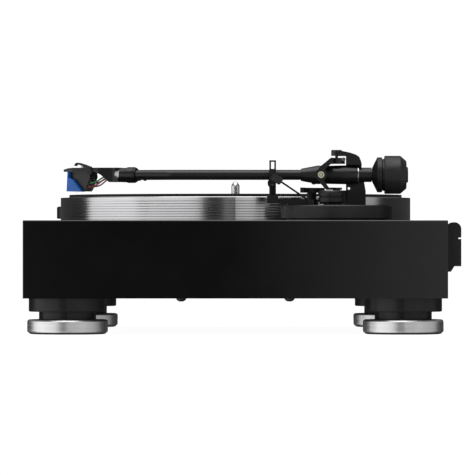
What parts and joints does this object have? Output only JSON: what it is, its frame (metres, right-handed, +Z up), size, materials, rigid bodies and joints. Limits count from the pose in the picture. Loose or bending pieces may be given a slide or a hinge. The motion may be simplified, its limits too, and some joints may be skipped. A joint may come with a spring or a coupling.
{
  "type": "turntable record player",
  "caption": "Direct-drive turntable: glossy black plinth, turned metal platter with rubber mat, J-shaped tonearm with gimbal, headshell and cartridge, and adjustable round feet.",
  "frame": {"origin": "centre of the footprint on the surface that the feet stand on", "axes": "+Z up, -Y front, +X right, the tonearm's side"},
  "size_m": [0.44, 0.3633, 0.154],
  "materials": {
    "plinth_gloss": "black high-gloss lacquer",
    "cover_black": "black satin paint",
    "screw_steel": "blackened steel",
    "satin_black": "moulded black plastic, fine grain",
    "handle_grey": "grey moulded plastic",
    "foot_metal": "turned aluminium with eased edges",
    "foot_rubber": "black rubber",
    "platter_metal": "turned and grooved aluminium",
    "mat_rubber": "black ribbed rubber",
    "bright_steel": "polished steel",
    "gold_plate": "pale gold plating",
    "nickel": "nickel plate",
    "iron": "motor iron",
    "bearing_brass": "turned brass",
    "copper": "enamelled copper wire",
    "board_green": "circuit board",
    "arm_black": "satin black paint on metal",
    "yoke_black": "semi-gloss black paint",
    "collar_metal": "black anodised aluminium",
    "weight_black": "satin grey-black paint on steel",
    "dial_black": "black plastic dial",
    "cartridge_black": "black moulded plastic",
    "stylus_blue": "blue moulded plastic",
    "cantilever_metal": "drawn aluminium tube",
    "lead_sleeve": "coloured sleeves"
  },
  "bodies": {
    "root": {"plinth_shell": "plinth_gloss", "bottom_cover": "cover_black", "bottom_screws": "screw_steel", "foot_housings": "satin_black", "bearing_housing": "bearing_brass", "motor_stator": "iron", "motor_coils": "copper", "circuit_boards": "board_green", "jack_panel": "satin_black", "phono_jacks": "gold_plate", "power_inlet": "satin_black", "ground_post": "bright_steel", "hinge_brackets": "cover_black", "hinge_pins": "screw_steel", "arm_base": "arm_black", "arm_pillar": "arm_black", "bearing_tower": "arm_black", "top_bearing": "yoke_black", "arm_rest": "satin_black", "lift_housing": "yoke_black"},
    "platter": {"platter": "platter_metal", "platter_mat": "mat_rubber", "spindle": "bright_steel", "rotor_magnet": "iron"},
    "speed_knob": {"speed_knob": "satin_black"},
    "antiskate_knob": {"antiskate_knob": "satin_black"},
    "cue_lever": {"cue_lever": "yoke_black", "cue_handle": "handle_grey"},
    "lift_rail": {"lift_rail": "yoke_black"},
    "arm_clip": {"arm_clip": "satin_black"},
    "gimbal": {"gimbal_yoke": "yoke_black", "pivot_screws": "gold_plate"},
    "tonearm": {"arm_tube": "arm_black", "arm_cone": "arm_black", "arm_housing": "arm_black", "trim_ring": "bright_steel", "rear_stub": "arm_black", "headshell": "collar_metal", "finger_lift": "collar_metal", "cartridge_body": "cartridge_black", "stylus_holder": "stylus_blue", "cantilever": "cantilever_metal", "cartridge_screws": "nickel", "cartridge_leads": "lead_sleeve"},
    "headshell_collar": {"headshell_collar": "collar_metal"},
    "counterweight": {"counterweight": "weight_black"},
    "force_dial": {"force_dial": "dial_black"},
    "hinge_knuckle_left": {"hinge_knuckle_left": "satin_black"},
    "hinge_knuckle_right": {"hinge_knuckle_right": "satin_black"},
    "ground_nut": {"ground_nut": "nickel"},
    "preamp_switch": {"preamp_switch": "satin_black"},
    "foot_fl": {"foot_fl": "foot_metal", "foot_pad_fl": "foot_rubber"},
    "foot_fr": {"foot_fr": "foot_metal", "foot_pad_fr": "foot_rubber"},
    "foot_rl": {"foot_rl": "foot_metal", "foot_pad_rl": "foot_rubber"},
    "foot_rr": {"foot_rr": "foot_metal", "foot_pad_rr": "foot_rubber"}
  },
  "joints": [
    {"name": "platter_spin", "type": "hinge", "parent": "root", "child": "platter", "pos_m": [-0.02, -0.00575, 0.0605], "axis": [0, 0, 1], "continuous": true},
    {"name": "arm_swing", "type": "hinge", "parent": "root", "child": "gimbal", "pos_m": [0.163, 0.079, 0.1331], "axis": [0, 0, -1], "range_deg": [0, 45]},
    {"name": "arm_raise", "type": "hinge", "parent": "gimbal", "child": "tonearm", "pos_m": [0.163, 0.0657, 0.1331], "axis": [-1, 0, 0], "range_deg": [0, 7]},
    {"name": "collar_turn", "type": "hinge", "parent": "tonearm", "child": "headshell_collar", "pos_m": [0.15105, -0.08755, 0.1331], "axis": [-0.3907, -0.9205, 0], "range_deg": [0, 60]},
    {"name": "weight_slide", "type": "slide", "parent": "tonearm", "child": "counterweight", "axis": [0, 1, 0], "range_m": [0, 0.008]},
    {"name": "force_dial_turn", "type": "hinge", "parent": "counterweight", "child": "force_dial", "pos_m": [0.163, 0.11, 0.1331], "axis": [0, 1, 0], "continuous": true},
    {"name": "cue_lever_tilt", "type": "hinge", "parent": "root", "child": "cue_lever", "pos_m": [0.188, 0.0573, 0.1102], "axis": [-1, 0, 0], "range_deg": [-30, 0]},
    {"name": "lift_travel", "type": "slide", "parent": "root", "child": "lift_rail", "axis": [0, 0, 1], "range_m": [-0.004, 0]},
    {"name": "clip_open", "type": "hinge", "parent": "root", "child": "arm_clip", "pos_m": [0.1712, 0.0254, 0.124], "axis": [0, 1, 0], "range_deg": [0, 28]},
    {"name": "antiskate_turn", "type": "hinge", "parent": "root", "child": "antiskate_knob", "pos_m": [0.19, 0.074, 0.11], "axis": [0, 0, -1], "range_deg": [0, 270]},
    {"name": "speed_select", "type": "hinge", "parent": "root", "child": "speed_knob", "pos_m": [-0.185, -0.1528, 0.1], "axis": [0, 0, -1], "range_deg": [-45, 45]},
    {"name": "lid_hinge_left", "type": "hinge", "parent": "root", "child": "hinge_knuckle_left", "pos_m": [-0.19, 0.17595, 0.0876], "axis": [-1, 0, 0], "range_deg": [0, 65]},
    {"name": "lid_hinge_right", "type": "hinge", "parent": "root", "child": "hinge_knuckle_right", "pos_m": [0.19, 0.17595, 0.0876], "axis": [-1, 0, 0], "range_deg": [0, 65]},
    {"name": "ground_nut_turn", "type": "hinge", "parent": "root", "child": "ground_nut", "pos_m": [-0.08, 0.172, 0.061], "axis": [0, 1, 0], "continuous": true},
    {"name": "preamp_switch_slide", "type": "slide", "parent": "root", "child": "preamp_switch", "axis": [1, 0, 0], "range_m": [-0.0012, 0.0032]},
    {"name": "foot_fl_height", "type": "slide", "parent": "root", "child": "foot_fl", "axis": [0, 0, -1], "range_m": [0, 0.006]},
    {"name": "foot_fr_height", "type": "slide", "parent": "root", "child": "foot_fr", "axis": [0, 0, -1], "range_m": [0, 0.006]},
    {"name": "foot_rl_height", "type": "slide", "parent": "root", "child": "foot_rl", "axis": [0, 0, -1], "range_m": [0, 0.006]},
    {"name": "foot_rr_height", "type": "slide", "parent": "root", "child": "foot_rr", "axis": [0, 0, -1], "range_m": [0, 0.006]}
  ],
  "couplings": [
    {"joint": "cue_lever_tilt", "follows": "lift_travel", "rad_per_m": 130.9}
  ]
}
